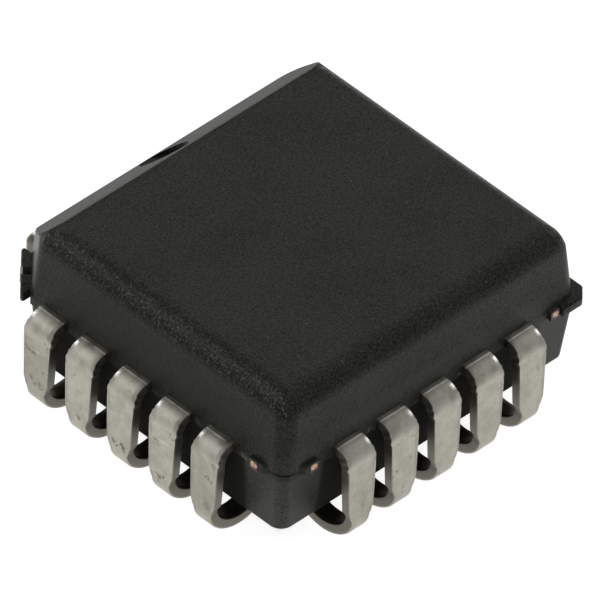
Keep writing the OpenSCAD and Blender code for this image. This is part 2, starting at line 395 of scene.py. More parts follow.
@dataclass(frozen=True)
class TinPlate:
    """Satin tin plating, drawn along the lead by the forming tools, with dull scuffs, painted highlights on the crease
    and a glint edge, a painted sheen on the shoulder and painted shade on the sides and inner face.
    """

    name: str = "tin_plate"
    dull: tuple[float, float, float] = (0.3, 0.285, 0.24)
    bright: tuple[float, float, float] = (0.43, 0.415, 0.355)
    soot: tuple[float, float, float] = (0.07, 0.06, 0.05)
    drawn: tuple[float, float, float] = (0.62, 0.6, 0.54)
    # colour of the painted shade on the cut sides and the inner face
    side: tuple[float, float, float] = (0.085, 0.078, 0.062)
    side_shade: float = 0.8
    roughness: float = 0.42
    uv_name: str = "strip"
    depth_name: str = "depth"
    across_name: str = "across"
    # colour of the painted highlights on the crease and the glint spot
    painted_highlight: tuple[float, float, float] = (0.93, 0.92, 0.88)
    painted_crease_highlight: tuple[float, float] = (4.51, 0.035)
    painted_glint: tuple[float, float] = (4.7, 0.12)
    scuffed: tuple[Smudge, ...] = (
        Smudge((-4.91, 2.78, 2.07), (0.3, 0.14, 0.1), 0.4),
        Smudge((-4.91, 2.7, 1.78), (0.3, 0.17, 0.055), 0.8),
        Smudge((-4.91, 2.24, 2.14), (0.3, 0.06, 0.12), 0.5),
        Smudge((-4.91, 2.58, 0.98), (0.3, 0.11, 0.09), 0.7),
        Smudge((-4.91, 2.38, 0.97), (0.3, 0.06, 0.1), 0.7),
        Smudge((-4.91, 1.22, 0.9), (0.3, 0.08, 0.06), 0.95),
        Smudge((-4.91, 0.08, 0.92), (0.3, 0.09, 0.07), 0.9),
        Smudge((-4.91, -0.14, 0.94), (0.3, 0.08, 0.09), 0.95),
        Smudge((-4.91, -1.13, 1.78), (0.3, 0.1, 0.07), 0.6),
        Smudge((-4.91, -1.6, 2.17), (0.3, 0.06, 0.1), 0.6),
        Smudge((-4.91, -1.2, 0.92), (0.3, 0.1, 0.07), 0.8),
        Smudge((-4.91, -1.38, 0.93), (0.3, 0.08, 0.07), 0.9),
        Smudge((-4.91, -2.84, 2.18), (0.3, 0.08, 0.11), 0.75),
        Smudge((-4.91, -2.68, 1.77), (0.3, 0.15, 0.05), 0.7),
        Smudge((-4.91, -2.66, 1.03), (0.3, 0.13, 0.17), 0.55),
        Smudge((-1.3, -4.91, 0.95), (0.1, 0.3, 0.1), 0.3),
        Smudge((-2.5, -4.91, 1.2), (0.05, 0.3, 0.4), 0.35),
        Smudge((-1.25, -4.91, 2.3), (0.18, 0.3, 0.06), 0.35),
    )
    # darker patches on the outer faces of the two end leads of the west row and the west end lead of the south row
    darkened_leads: tuple[Smudge, ...] = (
        Smudge((-4.91, 2.54, 1.4), (0.3, 0.6, 1.2), 0.2),
        Smudge((-4.91, -2.54, 1.4), (0.3, 0.6, 1.2), 0.18),
        Smudge((-2.54, -4.91, 1.4), (0.5, 0.3, 1.0), 0.08),
    )
    scratched: tuple[Smudge, ...] = (
        Smudge((-4.91, 2.6, 1.87), (0.3, 0.3, 0.028), 0.9),
        Smudge((-4.91, 1.3, 1.7), (0.3, 0.25, 0.03), 0.3),
        Smudge((-4.91, -0.05, 1.6), (0.3, 0.25, 0.03), 0.3),
        Smudge((-4.91, -1.3, 1.88), (0.3, 0.24, 0.028), 0.8),
        Smudge((-4.91, -2.6, 1.88), (0.3, 0.28, 0.028), 0.7),
    )

    def build(self) -> bpy.types.Material:
        """Makes the material."""
        material, graph = new_material(self.name)
        strip = graph.node("ShaderNodeUVMap", {"uv_map": self.uv_name})
        drawn = graph.node("ShaderNodeVectorMath", {"operation": "MULTIPLY"}, {0: strip, 1: (1.0, 0.09, 1.0)})
        at = graph.millimetres()
        streaks = graph.noise(drawn, 0.035, 3.0, 0.6)
        cast = graph.noise(at, 0.3, 3.0, 0.55)
        grain = graph.noise(at, 0.03, 2.0)
        scuffs = graph.noise(at, 0.22, 4.0, 0.62).above(0.62, 0.74)
        tone = streaks.above(0.25, 0.75) * 0.25 + cast.above(0.3, 0.7) * 0.75
        colour = graph.mix(tone, self.dull, self.bright)
        ragged = graph.noise(at, 0.06, 2.0).above(0.3, 0.65) * 0.6 + 0.4
        wobble = (graph.noise(at, 0.13, 1.5) - 0.5) * 0.4
        warped = graph.node("ShaderNodeVectorMath", {"operation": "ADD"}, {0: at, 1: wobble})
        colour = graph.mix(scuffs * 0.3, colour, self.soot)
        colour = graph.mix(graph.smudges(warped, self.scuffed) * ragged * 0.9, colour, self.soot)
        colour = graph.mix(graph.smudges(at, self.darkened_leads), colour, self.soot)
        along = self._part(graph, self.uv_name, "Y")
        depth = self._part(graph, self.depth_name, "X")
        across = self._part(graph, self.across_name, "X")
        half_width = self._part(graph, self.across_name, "Y")
        outer = depth.above(0.04, 0.0)
        inward = half_width - graph.node("ShaderNodeMath", {"operation": "ABSOLUTE"}, {0: across})
        shoulder = along.above(4.44, 4.56) * along.above(5.25, 4.95)
        # painted highlight: a bright line along the crease where the bend starts, and a bright, smoother spot on one
        # long edge of the bend as a glint
        painted_crease_highlight = self._band(graph, along, self.painted_crease_highlight) * outer * cast.above(0.25, 0.5)
        painted_glint = self._band(graph, along, self.painted_glint) * (half_width - across).above(0.13, 0.03)
        scratch = graph.smudges(at, self.scratched)
        painted_highlight_mask = graph.node("ShaderNodeMath", {"operation": "MAXIMUM"}, {0: painted_crease_highlight, 1: painted_glint})
        # painted sheen on tool-drawn plating: the shoulder bend is lightened where it catches the light
        colour = graph.mix(shoulder * outer * (cast.above(0.3, 0.65) * 0.35 + 0.2), colour, self.drawn)
        colour = graph.mix(scratch * cast.above(0.3, 0.6) * 0.6, colour, self.drawn)
        colour = graph.mix(painted_highlight_mask, colour, self.painted_highlight)
        # painted shade: the cut sides and the inner face are darkened towards the side colour
        colour = graph.mix(depth.above(0.0, 0.06) * self.side_shade, colour, self.side)
        normal = graph.bump(cast, 0.008)
        normal = graph.bump(inward.above(0.0, 0.1), 0.03, under=normal)
        normal = graph.bump(streaks, 0.0008, under=normal)
        normal = graph.bump(grain, 0.0008, under=normal)
        graph.surface(
            Base_Color=colour,
            Metallic=1.0,
            Roughness=self.roughness + (cast - 0.5) * 0.3 + scuffs * 0.2 + shoulder * 0.2 - painted_glint * 0.3,
            Normal=normal,
        )
        return material

    @staticmethod
    def _part(graph: Graph, name: str, axis: str) -> Socket:
        """One part of one of a lead's maps."""
        place = graph.node("ShaderNodeUVMap", {"uv_map": name})
        return graph.node("ShaderNodeSeparateXYZ", {}, {0: place}, output=axis)

    @staticmethod
    def _band(graph: Graph, along: Socket, band: tuple[float, float]) -> Socket:
        """A soft band across the strip, from its middle and its reach."""
        away = graph.node("ShaderNodeMath", {"operation": "ABSOLUTE"}, {0: along - band[0]})
        return away.above(band[1], band[1] * 0.3)


@dataclass(frozen=True)
class PlainMetal:
    """A bare metal or paste with cloudy colour and a fine cast grain."""

    name: str
    low: tuple[float, float, float]
    high: tuple[float, float, float]
    metallic: float
    roughness: float
    patch: float = 0.08

    def build(self) -> bpy.types.Material:
        """Makes the material."""
        material, graph = new_material(self.name)
        at = graph.millimetres()
        clouds = graph.noise(at, self.patch, 3.0, 0.6)
        grain = graph.noise(at, self.patch / 4, 2.0)
        graph.surface(
            Base_Color=graph.mix(clouds.above(0.35, 0.65), self.low, self.high),
            Metallic=self.metallic,
            Roughness=self.roughness + (clouds - 0.5) * 0.3,
            Normal=graph.bump(grain, self.patch / 40),
        )
        return material


@dataclass(frozen=True)
class CutCopper:
    """Copper whose cut ends are half smeared over with moulding compound."""

    name: str = "cut_copper"
    low: tuple[float, float, float] = (0.3, 0.17, 0.12)
    high: tuple[float, float, float] = (0.8, 0.54, 0.4)
    smeared: tuple[float, float, float] = (0.035, 0.03, 0.026)
    pale: tuple[float, float, float] = (0.3, 0.29, 0.25)
    roughness: float = 0.5
    ends: tuple[Smudge, ...] = (
        Smudge((-4.51, -3.6, 2.55), (0.1, 0.12, 0.1), 1.0),
        Smudge((-3.6, -4.51, 2.55), (0.12, 0.1, 0.1), 1.0),
        Smudge((3.6, -4.51, 2.55), (0.12, 0.1, 0.1), 1.0),
        Smudge((4.51, -3.6, 2.55), (0.1, 0.12, 0.1), 1.0),
        Smudge((4.51, 3.6, 2.55), (0.1, 0.12, 0.1), 1.0),
        Smudge((3.6, 4.51, 2.55), (0.12, 0.1, 0.1), 1.0),
    )
    worn_white: tuple[Smudge, ...] = (Smudge((-4.0, 4.0, 2.54), (0.4, 0.4, 0.4), 1.0),)

    def build(self) -> bpy.types.Material:
        """Makes the material."""
        material, graph = new_material(self.name)
        at = graph.millimetres()
        clouds = graph.noise(at, 0.08, 3.0, 0.6)
        ragged = graph.noise(at, 0.12, 3.0, 0.6)
        bare = (graph.smudges(at, self.ends + self.worn_white) + (ragged - 0.5)).above(0.15, 0.8)
        colour = graph.mix(clouds.above(0.35, 0.65), self.low, self.high)
        colour = graph.mix(graph.smudges(at, self.worn_white), colour, self.pale)
        graph.surface(
            Base_Color=graph.mix(bare, self.smeared, colour),
            Metallic=bare,
            Roughness=self.roughness + (clouds - 0.5) * 0.3,
            Normal=graph.bump(clouds, 0.004),
        )
        return material


SILICON = PlainMetal("silicon", (0.1, 0.11, 0.14), (0.2, 0.21, 0.26), 0.6, 0.2)
SILVER_PASTE = PlainMetal("silver_paste", (0.5, 0.5, 0.48), (0.68, 0.68, 0.65), 0.4, 0.55)
GOLD_WIRE = PlainMetal("gold_wire", (0.8, 0.55, 0.16), (0.95, 0.68, 0.26), 1.0, 0.25, 0.02)


def fresh_mesh(name: str, mesh_builder: bmesh.types.BMesh) -> bpy.types.Object:
    """Turns a bmesh into an object in the scene and frees it."""
    bmesh.ops.recalc_face_normals(mesh_builder, faces=mesh_builder.faces)
    mesh = bpy.data.meshes.new(name)
    mesh_builder.to_mesh(mesh)
    mesh_builder.free()
    made = bpy.data.objects.new(name, mesh)
    bpy.context.scene.collection.objects.link(made)
    return made


def settle(made: bpy.types.Object) -> bpy.types.Object:
    """Makes an object's modifiers part of its mesh.

    Args:
        made: The object.

    Returns:
        The same object, with a new mesh and no modifiers.
    """
    bpy.context.view_layer.update()
    seen = made.evaluated_get(bpy.context.evaluated_depsgraph_get())
    mesh = bpy.data.meshes.new_from_object(seen)
    made.modifiers.clear()
    old = made.data
    made.data = mesh
    bpy.data.meshes.remove(old)
    return made


def combine(made: bpy.types.Object, others: list[bpy.types.Object], operation: str) -> bpy.types.Object:
    """Joins, or cuts, one solid with others.

    Args:
        made: The solid that is kept.
        others: The solids that join or cut it. They are removed.
        operation: The Boolean modifier's operation.

    Returns:
        The kept solid.
    """
    for other in others:
        boolean = made.modifiers.new("join", "BOOLEAN")
        boolean.operation = operation
        boolean.solver = "EXACT"
        boolean.object = other
        settle(made)
        bpy.data.objects.remove(other)
    return made


def dress(
    made: bpy.types.Object, material: bpy.types.Material, nodes: list[str], sharp_from: float = 32.0
) -> bpy.types.Object:
    """Puts a finished piece into metres, shades it, and hands it to the frame.

    Args:
        made: The piece, in millimetres, with its modifiers settled.
        material: Its finish.
        nodes: The solids that it stands for.
        sharp_from: Edges bent further than this, in degrees, are shaded sharp.

    Returns:
        The piece.
    """
    mesh = made.data
    mesh.transform(Matrix.Scale(MM, 4))
    mesh.materials.clear()
    mesh.materials.append(material)
    mesh.shade_smooth()
    mesh.set_sharp_from_angle(angle=math.radians(sharp_from))
    weighted = made.modifiers.new("even_shading", "WEIGHTED_NORMAL")
    weighted.keep_sharp = True
    weighted.weight = 60
    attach(made, ROOT)
    if nodes:
        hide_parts(*nodes)
    log.info("%s: %d faces", made.name, len(mesh.polygons))
    return made


@dataclass
class Moulding:
    """The resin body: two leaning halves that meet in a thin level with flanges round its corners."""

    upper_half: float = 4.39
    lower_inset: float = 0.02
    web_proud: float = 0.004
    flange_proud: float = 0.1
    flange_long: float = 1.07
    top_z: float = 4.44
    level_top_z: float = 2.66
    level_thick: float = 0.24
    underside_z: float = 0.82
    upper_draft: float = 5.5
    lower_draft: float = 5.0
    top_edge_r: float = 0.58
    upright_r: float = 0.37
    key_cut: float = 1.1
    key_edge_r: float = 0.32
    key_flange_cut: float = 0.98
    flange_cut: float = 0.27
    trimmed_cut: float = 0.66
    bevel_back: float = 1.28
    bevel_slope: float = 45.5
    dimple_back: float = 0.59
    dimple_r: float = 0.52
    dimple_d: float = 1.23
    worn_r: float = 0.02
    lower_edge_r: float = 0.06
    near_lower_r: float = 0.32
    far_lower_r: float = 0.2
    web_r: float = 0.004
    flange_r: float = 0.04
    far_flange_proud: float = 0.2
    far_flange_long: float = 0.85
    round_steps: int = 10
    overlap: float = 0.1

    @property
    def level_bottom_z(self) -> float:
        """Height of the lower face of the level between the halves."""
        return self.level_top_z - self.level_thick

    def _half(self, name: str, half: float, start_z: float, end_z: float, draft: float, top_r: float):
        """One leaning half with its round edges.

        Args:
            name: The object's name.
            half: Half its width at the level.
            start_z: Height at which it has that width.
            end_z: Height of its outer face.
            draft: Lean of its walls in degrees.
            top_r: Radius along the edges of the outer face.

        Returns:
            The object.
        """
        away = 1 if end_z > start_z else -1
        lean = math.tan(math.radians(draft))
        root_z = start_z - away * self.overlap
        root = half + self.overlap * lean
        tall = abs(end_z - root_z)
        solid = bmesh.new()
        bmesh.ops.create_cube(solid, size=2.0)
        bmesh.ops.scale(solid, vec=(root, root, tall / 2), verts=solid.verts)
        bmesh.ops.translate(solid, vec=(0, 0, (root_z + end_z) / 2), verts=solid.verts)
        outer = [v for v in solid.verts if abs(v.co.z - end_z) < self.worn_r]
        shrink = 1 - tall * lean / root
        bmesh.ops.scale(solid, vec=(shrink, shrink, 1), verts=outer)
        middle = half - self.key_cut / 2
        slope = math.radians(draft)
        outward = Vector((-math.cos(slope), math.cos(slope), away * math.sqrt(2) * math.sin(slope))).normalized()
        self._cut_off(solid, Vector((-middle, middle, start_z)), outward)
        if away < 0:
            self._round_lower(solid, end_z, top_r, draft)
            return fresh_mesh(name, solid)
        weights = solid.edges.layers.float.new("bevel_weight_edge")
        widths = {edge: self._edge_width(edge, end_z, top_r, draft) for edge in solid.edges}
        widest = max(widths.values())
        for edge, width in widths.items():
            edge[weights] = width / widest
        made = fresh_mesh(name, solid)
        rounding = made.modifiers.new("round_edges", "BEVEL")
        rounding.limit_method = "WEIGHT"
        rounding.width = widest
        rounding.segments = self.round_steps
        rounding.profile = 0.5
        rounding.miter_outer = "MITER_SHARP"
        rounding.use_clamp_overlap = False
        return settle(made)

    def _round_lower(self, solid: bmesh.types.BMesh, end_z: float, soft: float, draft: float) -> None:
        """Rounds each upright edge by its own radius, and then the edge of the outer face.

        Args:
            solid: The lower half.
            end_z: Height of its outer face.
            soft: Radius along the edges of the outer face.
            draft: Lean of its walls in degrees.
        """
        uprights = [e for e in solid.edges if abs(e.verts[0].co.z - e.verts[1].co.z) > self.overlap]
        widths = [((e.verts[0].co + e.verts[1].co) / 2, self._edge_width(e, end_z, soft, draft)) for e in uprights]
        for middle, width in widths:
            edge = min(solid.edges, key=lambda e: ((e.verts[0].co + e.verts[1].co) / 2 - middle).length)
            self._round(solid, [edge], width, self.round_steps)
        rim = [e for e in solid.edges if all(abs(v.co.z - end_z) < self.worn_r for v in e.verts)]
        self._round(solid, rim, soft, 3)

    @staticmethod
    def _round(solid: bmesh.types.BMesh, edges: list[bmesh.types.BMEdge], reach: float, steps: int) -> None:
        """Rounds some edges."""
        bmesh.ops.bevel(
            solid,
            geom=edges,
            offset=reach,
            segments=steps,
            profile=0.5,
            affect="EDGES",
            material=-1,
            clamp_overlap=True,
        )

    @staticmethod
    def _width(radius: float, angle: float) -> float:
        """How far a rounding of this radius reaches along the faces that meet at this angle, in degrees."""
        return radius / math.tan(math.radians(angle / 2))

    def _edge_width(self, edge: bmesh.types.BMEdge, end_z: float, top_r: float, draft: float) -> float:
        """The reach of an edge's rounding, or 0 for an edge that is buried in the level."""
        low, high = sorted((v.co for v in edge.verts), key=lambda co: abs(co.z - end_z))
        if abs(high.z - end_z) < self.worn_r:
            return self._width(top_r, 90 + draft)
        if abs(low.z - end_z) > self.worn_r:
            return 0.0
        if low.x < 0 < low.y:
            return self._width(self.key_edge_r, 135)
        lower = {(-1, -1): self.near_lower_r, (1, -1): self.far_lower_r} if end_z < self.level_bottom_z else {}
        corner = (round(math.copysign(1, low.x)), round(math.copysign(1, low.y)))
        return self._width(lower.get(corner, self.upright_r), 90)

    @staticmethod
    def _cut_off(solid: bmesh.types.BMesh, at: Vector, outward: Vector) -> None:
        """Takes off what lies outside a plane and closes the cut."""
        whole = [*solid.verts, *solid.edges, *solid.faces]
        cut = bmesh.ops.bisect_plane(
            solid, geom=whole, dist=1e-5, plane_co=at, plane_no=outward, clear_outer=True
        )
        rim = [item for item in cut["geom_cut"] if isinstance(item, bmesh.types.BMEdge)]
        bmesh.ops.contextual_create(solid, geom=rim)

    def _slab(
        self, name: str, low: float, half: float, cuts: dict[tuple[int, int], float], soft: float
    ) -> bpy.types.Object:
        """A slab of the level, its corners cut off.

        Args:
            name: The object's name.
            low: The lower end of the slab in X and Y.
            half: The upper end.
            cuts: How far each corner is cut, by the signs of its X and Y.
            soft: Radius of its edges.

        Returns:
            The object.
        """
        solid = bmesh.new()
        bmesh.ops.create_grid(solid, x_segments=1, y_segments=1, size=0.5)
        middle = (low + half) / 2
        bmesh.ops.scale(solid, vec=(half - low, half - low, 1), verts=solid.verts)
        bmesh.ops.translate(solid, vec=(middle, middle, self.level_bottom_z), verts=solid.verts)
        for (x, y), cut in cuts.items():
            reach = half - cut / 2
            whole = [*solid.verts, *solid.edges, *solid.faces]
            bmesh.ops.bisect_plane(
                solid, geom=whole, dist=1e-5, plane_co=(x * reach, y * reach, 0), plane_no=(x, y, 0), clear_outer=True
            )
        grown = bmesh.ops.extrude_face_region(solid, geom=solid.faces[:])
        raised = [item for item in grown["geom"] if isinstance(item, bmesh.types.BMVert)]
        bmesh.ops.translate(solid, vec=(0, 0, self.level_thick), verts=raised)
        self._round(solid, solid.edges[:], soft, 3)
        return fresh_mesh(name, solid)

    def _flange(self, side: Side) -> bpy.types.Object:
        """The flange round one corner, modelled on the positive corner and turned to its place."""
        cut = {Side.NORTH: self.key_flange_cut, Side.WEST: self.trimmed_cut}.get(side, self.flange_cut)
        far = side is Side.SOUTH
        half = self.upper_half + (self.far_flange_proud if far else self.flange_proud)
        low = half - (self.far_flange_long if far else self.flange_long)
        made = self._slab(f"flange_{side.name.lower()}", low, half, {(1, 1): cut}, self.flange_r)
        made.data.transform(side.turn)
        return made

    def _dimple(self) -> bpy.types.Object:
        """The cutter for the round dimple in the bevel."""
        solid = bmesh.new()
        floor_z = self.top_z - self.dimple_d
        bmesh.ops.create_cone(
            solid,
            cap_ends=True,
            segments=64,
            radius1=self.dimple_r,
            radius2=self.dimple_r,
            depth=self.top_z,
        )
        centre = (0, self.upper_half - self.dimple_back, floor_z + self.top_z / 2)
        bmesh.ops.translate(solid, vec=centre, verts=solid.verts)
        return fresh_mesh("dimple_cutter", solid)

    def build(self, resin: bpy.types.Material) -> bpy.types.Object:
        """Models the body.

        Args:
            resin: Its finish.

        Returns:
            The piece.
        """
        upper = self._half(
            "body_moulding", self.upper_half, self.level_top_z, self.top_z, self.upper_draft, self.top_edge_r
        )
        solid = bmesh.new()
        solid.from_mesh(upper.data)
        slope = math.radians(self.bevel_slope)
        start = Vector((0, self.upper_half - self.bevel_back, self.top_z))
        self._cut_off(solid, start, Vector((0, math.sin(slope), math.cos(slope))))
        bmesh.ops.recalc_face_normals(solid, faces=solid.faces)
        solid.to_mesh(upper.data)
        solid.free()
        combine(upper, [self._dimple()], "DIFFERENCE")
        lower = self._half(
            "lower_half",
            self.upper_half - self.lower_inset,
            self.level_bottom_z,
            self.underside_z,
            self.lower_draft,
            self.lower_edge_r,
        )
        half = self.upper_half + self.web_proud
        cuts = {(-1, 1): self.key_cut, (-1, -1): self.trimmed_cut, (1, 1): self.upright_r, (1, -1): self.upright_r}
        web = self._slab("web", -half, half, cuts, self.web_r)
        flanges = [self._flange(side) for side in Side]
        combine(upper, [web, *flanges, lower], "UNION")
        return dress(upper, resin, ["body"])


@dataclass
class Lead:
    """One J-shaped lead, formed from a flat strip: finger, shoulder bend, upright and curled foot."""

    number: int
    side: Side
    pitches: int
    pitch: float = 1.27
    finger_pitch: float = 0.6
    finger_x: float = 1.95
    finger_w: float = 0.32
    finger_bend_x: float = 3.75
    thick: float = 0.24
    top_z: float = 2.66
    out_x: float = 4.91
    neck_w: float = 0.75
    stub_w: float = 0.83
    upright_w: float = 0.74
    foot_w: float = 0.5
    shoulder_r: float = 0.41
    foot_tight_r: float = 0.7
    foot_tight_turn: float = 45.0
    foot_r: float = 1.05
    foot_curl: float = 70.0
    stub_down: float = 0.2
    stub_long: float = 0.36
    stub_slope: float = 0.1
    foot_z: float = 0.79
    narrow_long: float = 0.2
    edge_r: float = 0.025
    lean: float = 0.0
    bend_step: float = 8.0
    merge: float = 0.015

    @property
    def name(self) -> str:
        """The name of the solid that this lead dresses."""
        return f"lead_{self.number:02d}"

    @property
    def foot_starts(self) -> tuple[Vector, Vector]:
        """The centres of the foot's tight bend and of its wide one, as (x, z)."""
        turn = math.radians(self.foot_tight_turn)
        more = self.foot_r - self.foot_tight_r
        tight = Vector((self.out_x - self.foot_tight_r, self.foot_r - more * math.sin(turn)))
        return tight, Vector((tight.x - more * math.cos(turn), self.foot_r))

    def _outline(self) -> list[tuple[float, float]]:
        """Half widths of the formed part from the top down, as (height, half width) pairs."""
        stub_top = self.top_z - self.stub_down
        stub_end = stub_top - self.stub_long
        return [
            (self.top_z, self.neck_w / 2),
            (stub_top, self.neck_w / 2),
            (stub_top - self.stub_slope, self.stub_w / 2),
            (stub_end + self.stub_slope, self.stub_w / 2),
            (stub_end, self.upright_w / 2),
            (self.foot_z + self.narrow_long, self.upright_w / 2),
            (self.foot_z, self.foot_w / 2),
            (0.0, self.foot_w / 2),
        ]

    def _half_width(self, z: float) -> float:
        """Half the width of the formed part at a height."""
        stops = self._outline()
        for (high, wide), (low, narrow) in zip(stops, stops[1:]):
            if z >= low:
                share = min(1.0, max(0.0, (high - z) / (high - low)))
                return wide + (narrow - wide) * share
        return stops[-1][1]

    def _grow(self, strip: bmesh.types.BMesh, end: bmesh.types.BMFace, by: Vector, widen: float) -> bmesh.types.BMFace:
        """Draws the strip's end face further along.

        Args:
            strip: The strip.
            end: Its end face.
            by: How far to draw it.
            widen: What its width is multiplied by.

        Returns:
            The new end face.
        """
        middle = end.calc_center_median()
        grown = bmesh.ops.extrude_discrete_faces(strip, faces=[end])["faces"][0]
        verts = list(grown.verts)
        bmesh.ops.scale(strip, vec=(1, widen, 1), verts=verts, space=Matrix.Translation(-middle))
        bmesh.ops.translate(strip, vec=by, verts=verts)
        return grown

    def _bend(self, strip: bmesh.types.BMesh, end: bmesh.types.BMFace, centre: Vector, angle: float):
        """Turns the strip's end face round a bend and returns the new end face."""
        turned = bmesh.ops.spin(
            strip,
            geom=[end, *end.edges, *end.verts],
            cent=centre,
            axis=(0, 1, 0),
            angle=math.radians(angle),
            steps=round(angle / self.bend_step),
            use_merge=False,
            use_duplicate=False,
        )
        return next(item for item in turned["geom_last"] if isinstance(item, bmesh.types.BMFace))

    def _strip(self) -> bmesh.types.BMesh:
        """Forms the strip on the positive X side, with the middle of its formed part at Y zero."""
        strip = bmesh.new()
        bmesh.ops.create_grid(strip, x_segments=1, y_segments=1, size=0.5)
        bmesh.ops.rotate(strip, verts=strip.verts, matrix=Matrix.Rotation(math.pi / 2, 3, "Y"))
        bmesh.ops.scale(strip, vec=(1, self.finger_w, self.thick), verts=strip.verts)
        offset = self.pitches * (self.finger_pitch - self.pitch)
        start = (self.finger_x, offset, self.top_z - self.thick / 2)
        bmesh.ops.translate(strip, vec=start, verts=strip.verts)
        end = next(iter(strip.faces))
        shoulder_x = self.out_x - self.shoulder_r
        shoulder_z = self.top_z - self.shoulder_r
        tight, wide = self.foot_starts
        slant = Vector((self.finger_bend_x - self.finger_x, -offset, 0))
        end = self._grow(strip, end, slant, self.neck_w / self.finger_w)
        end = self._grow(strip, end, Vector((shoulder_x - self.finger_bend_x, 0, 0)), 1.0)
        end = self._bend(strip, end, Vector((shoulder_x, 0, shoulder_z)), 90)
        end = self._grow(strip, end, Vector((0, 0, tight.y - shoulder_z)), 1.0)
        end = self._bend(strip, end, Vector((tight.x, 0, tight.y)), self.foot_tight_turn)
        self._bend(strip, end, Vector((wide.x, 0, wide.y)), 90 + self.foot_curl - self.foot_tight_turn)
        bmesh.ops.remove_doubles(strip, verts=strip.verts, dist=1e-5)
        inner = [f for f in strip.faces if all(len(e.link_faces) > 2 for e in f.edges)]
        bmesh.ops.delete(strip, geom=inner, context="FACES_ONLY")
        return strip

    def _shape_outline(self, strip: bmesh.types.BMesh) -> None:
        """Gives the formed part its widths, with a loop of edges at each corner of the outline."""
        for height, _ in self._outline()[1:-1]:
            whole = [*strip.verts, *strip.edges, *strip.faces]
            bmesh.ops.bisect_plane(strip, geom=whole, dist=self.merge, plane_co=(0, 0, height), plane_no=(0, 0, 1))
        wall = self.out_x - self.shoulder_r
        for vert in strip.verts:
            if vert.co.z < self.top_z - self.thick - 1e-4 or vert.co.x > wall - 1e-4:
                vert.co.y = math.copysign(self._half_width(vert.co.z), vert.co.y)

    def _developed(self, x: float, z: float) -> tuple[float, float]:
        """Where a point lies on the unbent strip.

        Args:
            x: Distance from the middle of the part.
            z: Height.

        Returns:
            Its distance along the strip and its depth under the strip's outer face.
        """
        shoulder = Vector((self.out_x - self.shoulder_r, self.top_z - self.shoulder_r))
        tight, wide = self.foot_starts
        turn_end = shoulder.x + self.shoulder_r * math.pi / 2
        if x <= shoulder.x and z > shoulder.y:
            return x, self.top_z - z
        if z >= shoulder.y:
            angle = math.atan2(x - shoulder.x, z - shoulder.y)
            return shoulder.x + self.shoulder_r * angle, self.shoulder_r - math.hypot(x - shoulder.x, z - shoulder.y)
        if x > wide.x and z >= tight.y:
            return turn_end + shoulder.y - z, self.out_x - x
        straight = turn_end + shoulder.y - tight.y
        turn = math.radians(self.foot_tight_turn)
        angle = math.atan2(tight.y - z, x - tight.x)
        if angle <= turn and x > wide.x:
            return straight + self.foot_tight_r * angle, self.foot_tight_r - math.hypot(x - tight.x, z - tight.y)
        angle = math.atan2(wide.y - z, x - wide.x)
        along = straight + self.foot_tight_r * turn + self.foot_r * (angle - turn)
        return along, self.foot_r - math.hypot(x - wide.x, z - wide.y)

    def _lay_maps(self, strip: bmesh.types.BMesh, plate: TinPlate) -> None:
        """Writes maps in millimetres: the unbent strip, depth by height, and place across by half width."""
        layer = strip.loops.layers.uv.new(plate.uv_name)
        within = strip.loops.layers.uv.new(plate.depth_name)
        across = strip.loops.layers.uv.new(plate.across_name)
        # the painted glint lies on the long edge that faces the glint lamps
        painted_glint_side = -1 if self.side is Side.WEST else 1
        for face in strip.faces:
            for loop in face.loops:
                co = loop.vert.co
                along, depth = self._developed(co.x, co.z)
                loop[layer].uv = (co.y + math.copysign(depth, co.y) + 2.0 * self.number, along)
                loop[within].uv = (depth, co.z)
                loop[across].uv = (co.y * painted_glint_side, self._half_width(co.z))

    def build(self, plate: TinPlate, material: bpy.types.Material) -> bpy.types.Object:
        """Models the lead.

        Args:
            plate: Its finish.
            material: The material made from that finish.

        Returns:
            The piece.
        """
        strip = self._strip()
        self._shape_outline(strip)
        long_edges = [e for e in strip.edges if len(e.link_faces) == 2 and e.calc_face_angle(0.0) > math.radians(50)]
        bmesh.ops.bevel(
            strip,
            geom=long_edges,
            offset=self.edge_r,
            segments=3,
            profile=0.5,
            affect="EDGES",
            material=-1,
            clamp_overlap=True,
        )
        self._lay_maps(strip, plate)
        bend_z = self.top_z - self.shoulder_r
        for vert in strip.verts:
            vert.co.x += max(0.0, bend_z - vert.co.z) * math.tan(math.radians(self.lean))
        bmesh.ops.translate(strip, vec=(0, self.pitches * self.pitch, 0), verts=strip.verts)
        bmesh.ops.transform(strip, matrix=self.side.turn, verts=strip.verts)
        return dress(fresh_mesh(f"{self.name}_formed", strip), material, [self.name])


@dataclass
class Leadframe:
    """All the leads, counted anticlockwise from the middle of the side with the bevel."""

    a_side: int = 5
    sides: int = 4
    start: int = 2
    lean: dict[Side, float] = field(
        default_factory=lambda: {Side.EAST: 0.8, Side.NORTH: 0.4, Side.WEST: 0.0, Side.SOUTH: 2.0}
    )
    leads: list[Lead] = field(default_factory=list)

    def build(self, plate: TinPlate) -> None:
        """Models every lead.

        Args:
            plate: The leads' finish.
        """
        material = plate.build()
        for number in range(1, self.a_side * self.sides + 1):
            place = (number + 1) % (self.a_side * self.sides)
            side = Side((1 + place // self.a_side) % self.sides)
            lead = Lead(number=number, side=side, pitches=place % self.a_side - self.start, lean=self.lean[side])
            lead.build(plate, material)
            self.leads.append(lead)


